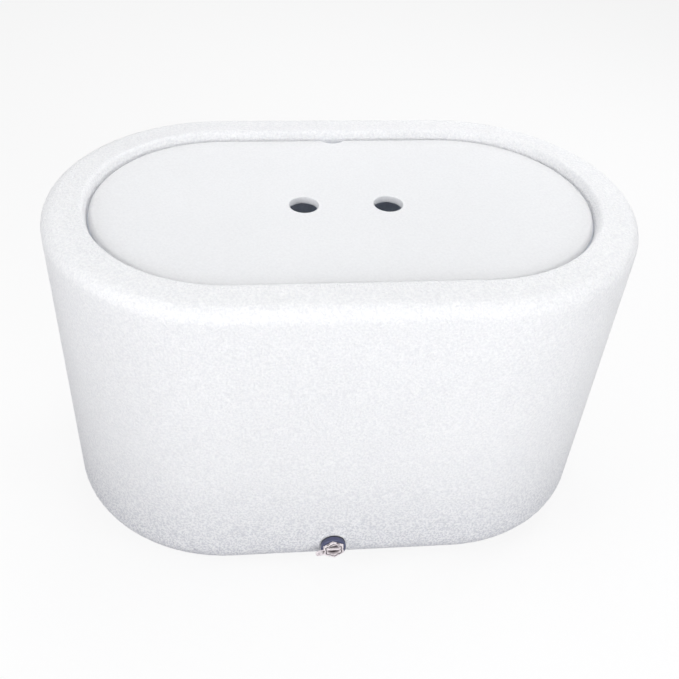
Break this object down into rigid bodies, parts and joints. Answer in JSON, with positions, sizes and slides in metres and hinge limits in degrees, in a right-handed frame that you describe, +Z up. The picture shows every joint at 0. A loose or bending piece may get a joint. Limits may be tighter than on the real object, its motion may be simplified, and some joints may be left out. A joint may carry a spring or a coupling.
{
  "type": "live bait well",
  "caption": "Oval double-walled bait tank with a recessed lift-out lid, a low drain with a screw plug, and an overflow pipe inside.",
  "frame": {"origin": "middle of the flat base, on the floor", "axes": "+X along the tank's length, +Z up, the drain on the -Y wall"},
  "size_m": [0.7114, 0.4294, 0.4252],
  "materials": {
    "polyethylene": "satin",
    "foam": "matte",
    "slate_nylon": "satin",
    "white_nylon": "satin",
    "black_rubber": "matte",
    "pvc": "gloss"
  },
  "bodies": {
    "tank": {"outer_shell": "polyethylene", "inner_tub": "polyethylene", "insulation_foam": "foam", "foam_fill_plug": "white_nylon", "foam_vent_plug": "white_nylon", "drain_body": "slate_nylon", "drain_outer_gasket": "black_rubber", "drain_sleeve": "white_nylon", "drain_inner_gasket": "black_rubber", "drain_washer": "white_nylon", "drain_locknut": "slate_nylon"},
    "lid": {"lid": "polyethylene"},
    "plug_seal": {"plug_seal": "black_rubber"},
    "plug": {"drain_plug": "white_nylon"},
    "elbow_seal": {"elbow_seal": "black_rubber"},
    "overflow": {"overflow_elbow": "pvc", "overflow_pipe": "pvc"},
    "cap": {"overflow_cap": "pvc"}
  },
  "joints": [
    {"name": "lid_lift", "type": "slide", "parent": "tank", "child": "lid", "axis": [0, 0, 1], "range_m": [0, 0.15]},
    {"name": "plug_travel", "type": "slide", "parent": "tank", "child": "plug_seal", "axis": [0, -1, 0], "range_m": [0, 0.014]},
    {"name": "plug_turn", "type": "hinge", "parent": "plug_seal", "child": "plug", "pos_m": [-0.015, -0.2, 0.0395], "axis": [0, -1, 0], "range_deg": [0, 2770]},
    {"name": "overflow_pull", "type": "slide", "parent": "tank", "child": "elbow_seal", "axis": [0, 1, 0], "range_m": [0, 0.022]},
    {"name": "overflow_swing", "type": "hinge", "parent": "elbow_seal", "child": "overflow", "pos_m": [-0.015, -0.12, 0.0395], "axis": [0, 1, 0], "range_deg": [-25, 25]},
    {"name": "cap_pull", "type": "slide", "parent": "overflow", "child": "cap", "axis": [0, 0, 1], "range_m": [0, 0.018]}
  ],
  "couplings": [
    {"joint": "plug_travel", "follows": "plug_turn", "m_per_rad": 0.00028871}
  ]
}
